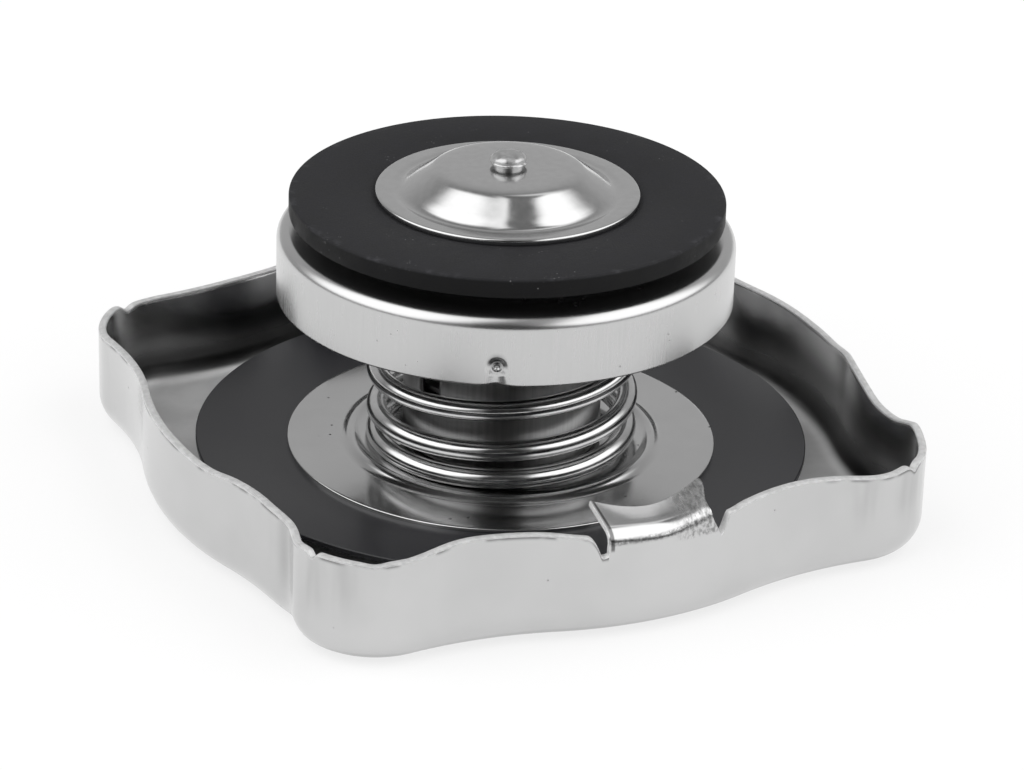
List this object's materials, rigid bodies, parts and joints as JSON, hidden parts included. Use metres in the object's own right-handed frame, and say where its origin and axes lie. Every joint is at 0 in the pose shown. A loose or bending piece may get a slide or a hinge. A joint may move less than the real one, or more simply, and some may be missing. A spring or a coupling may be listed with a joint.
{
  "type": "radiator pressure cap",
  "caption": "Bright stamped radiator cap lying on its outer face, with a sprung pressure valve, a black rubber gasket and a domed vacuum valve.",
  "frame": {"origin": "the cap's axis at its outer face, on which it lies", "axes": "+Z along the axis from the outer face to the valves, the locking tabs on -Y and +Y"},
  "size_m": [0.0706, 0.0706, 0.0342],
  "materials": {
    "shell_steel": "bright",
    "plate_steel": "bright",
    "barrel_steel": "drawn",
    "spring_steel": "bright",
    "cup_steel": "drawn",
    "seal_black": "satin",
    "gasket_rubber": "matte",
    "disc_nickel": "satin"
  },
  "bodies": {
    "shell": {"outer_shell": "shell_steel"},
    "insert": {"swivel_rivet": "spring_steel", "diaphragm_spring": "spring_steel", "sealing_disc": "seal_black", "spring_plate": "plate_steel", "guide_barrel": "barrel_steel", "main_spring": "spring_steel"},
    "pressure_valve": {"valve_cup": "cup_steel", "spring_seat": "plate_steel", "pressure_gasket": "gasket_rubber", "valve_hub": "barrel_steel", "vacuum_spring": "spring_steel"},
    "vacuum_valve": {"vacuum_disc": "disc_nickel", "vacuum_stem": "disc_nickel", "stem_washer": "spring_steel"}
  },
  "joints": [
    {"name": "shell_swivel", "type": "hinge", "parent": "shell", "child": "insert", "pos_m": [0, 0, 0], "axis": [0, 0, 1], "continuous": true},
    {"name": "pressure_lift", "type": "slide", "parent": "insert", "child": "pressure_valve", "axis": [0, 0, -1], "range_m": [0, 0.006], "stiffness_N_per_m": 8000, "springref_m": -0.003, "deforming": ["main_spring"]},
    {"name": "vacuum_lift", "type": "slide", "parent": "pressure_valve", "child": "vacuum_valve", "axis": [0, 0, 1], "range_m": [0, 0.002], "stiffness_N_per_m": 150, "springref_m": -0.002, "deforming": ["vacuum_spring"]}
  ]
}
